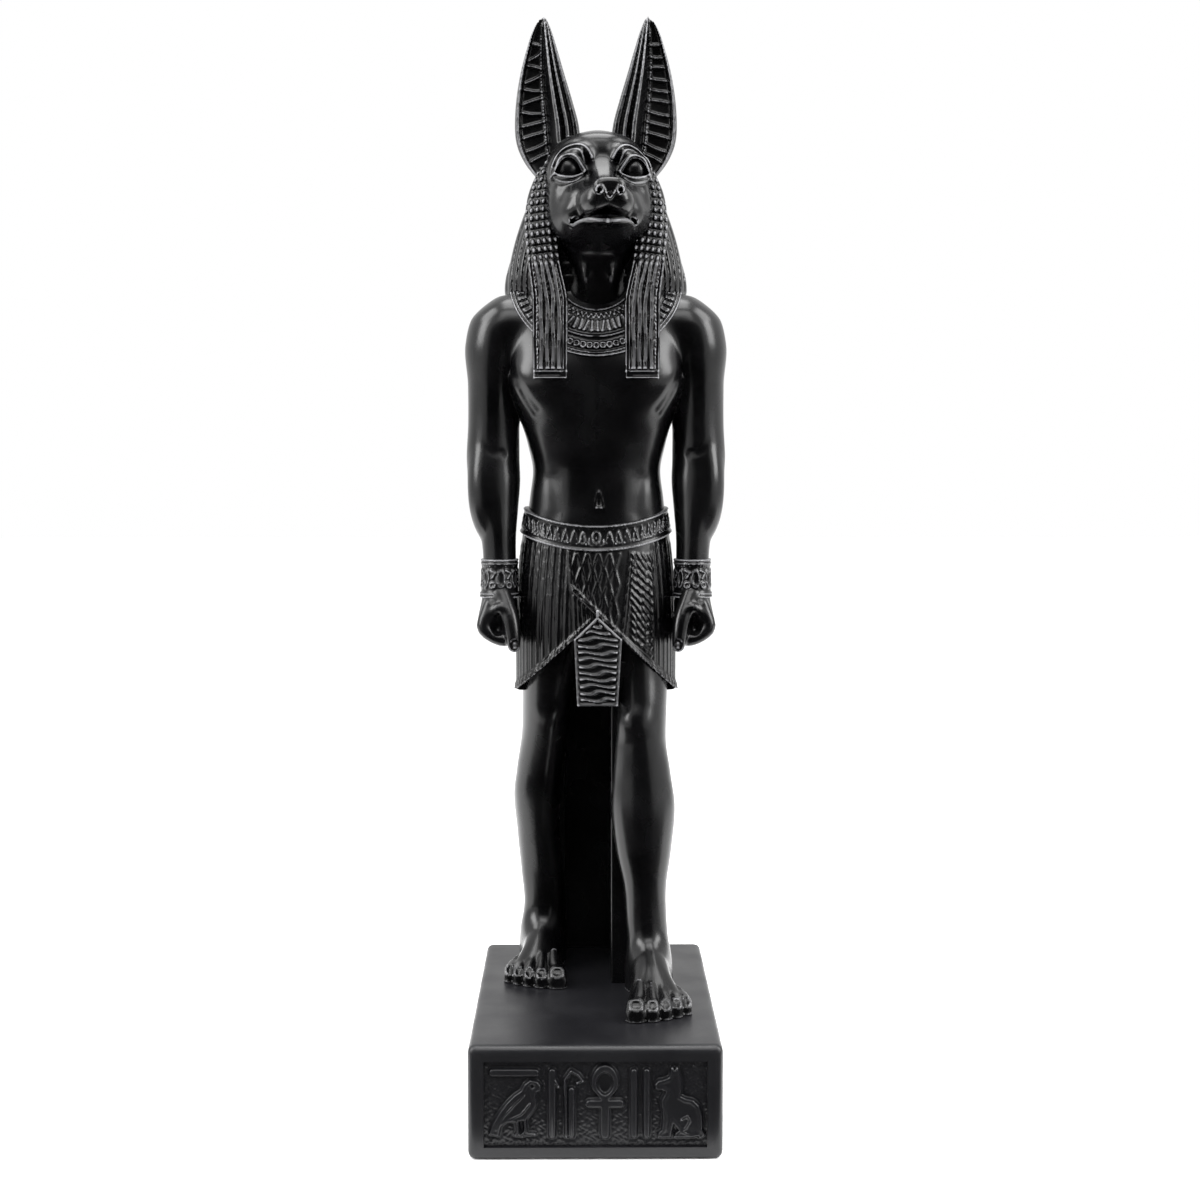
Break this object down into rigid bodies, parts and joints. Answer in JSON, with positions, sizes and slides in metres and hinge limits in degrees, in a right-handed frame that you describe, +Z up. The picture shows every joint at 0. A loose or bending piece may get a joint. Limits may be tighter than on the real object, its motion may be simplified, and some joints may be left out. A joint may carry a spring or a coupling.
{
  "type": "anubis standing statue",
  "caption": "Black resin statue of a striding jackal-headed figure with a striped wig, collar and pleated kilt, on an oblong plinth with a sunk panel of raised signs.",
  "frame": {"origin": "middle of the plinth's underside", "axes": "+Z up, from the underside to the ear tips; -Y the way the figure faces and strides; +X to the right of someone who faces it"},
  "size_m": [0.0735, 0.096, 0.2993],
  "materials": {
    "black_resin": "smooth glossy black cast resin with soft, slightly grey reflections",
    "plinth_resin": "glossy black cast resin, faintly speckled on top, hammered ground in the sunk panel"
  },
  "bodies": {
    "root": {"figure": "black_resin", "plinth": "plinth_resin"}
  },
  "joints": []
}
